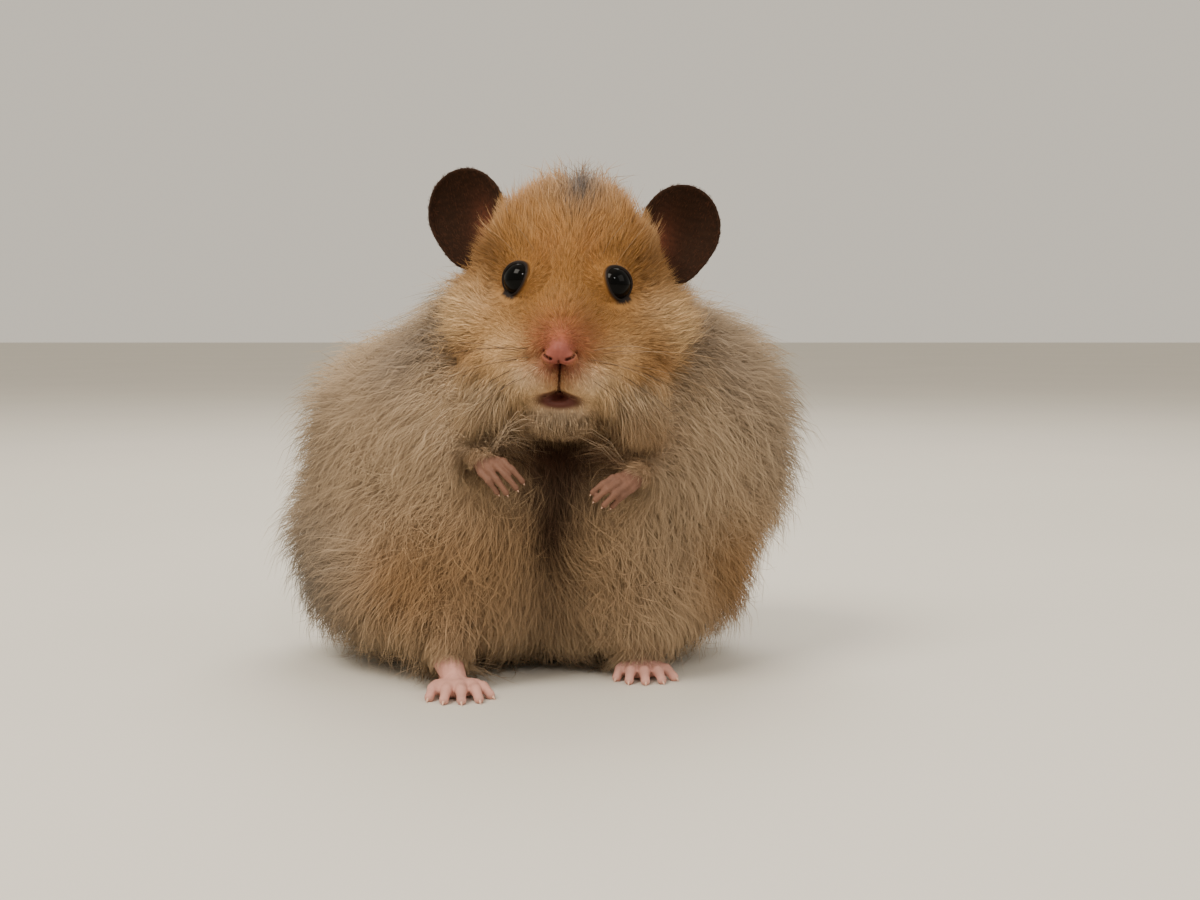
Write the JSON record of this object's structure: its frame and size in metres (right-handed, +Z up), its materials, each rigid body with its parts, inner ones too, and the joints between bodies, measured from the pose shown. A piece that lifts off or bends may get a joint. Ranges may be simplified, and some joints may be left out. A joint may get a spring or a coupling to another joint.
{
  "type": "syrian hamster",
  "caption": "Life-size still model of a long-haired Syrian hamster sitting up on its haunches, facing forward, front paws held at its chest.",
  "frame": {"origin": "centre of the bounding box's bottom, on the floor under the sitting animal", "axes": "+Z up, the animal faces -Y, +X towards the animal's left side, across its widest extent"},
  "size_m": [0.1136, 0.0996, 0.1025],
  "materials": {
    "coat": "long soft fur, cream to grey-beige with a brown belly parting",
    "face_coat": "short dense golden-orange fur, cream round the mouth",
    "bare_skin": "soft pink bare skin of the nose, hands, feet and tail",
    "ear_skin": "thin dark brown skin with a fine nap",
    "eye": "wet gloss",
    "claw": "pale horn",
    "whisker": "fine stiff hair"
  },
  "bodies": {
    "root": {"head": "face_coat", "jaw": "face_coat", "nose": "bare_skin", "ear_left": "ear_skin", "ear_right": "ear_skin", "eye_left": "eye", "eye_right": "eye", "neck": "coat", "trunk": "coat", "tail": "bare_skin", "arm_left": "coat", "arm_right": "coat", "hand_left": "bare_skin", "hand_right": "bare_skin", "thigh_left": "coat", "thigh_right": "coat", "shin_left": "coat", "shin_right": "coat", "foot_left": "bare_skin", "foot_right": "bare_skin"}
  },
  "joints": []
}
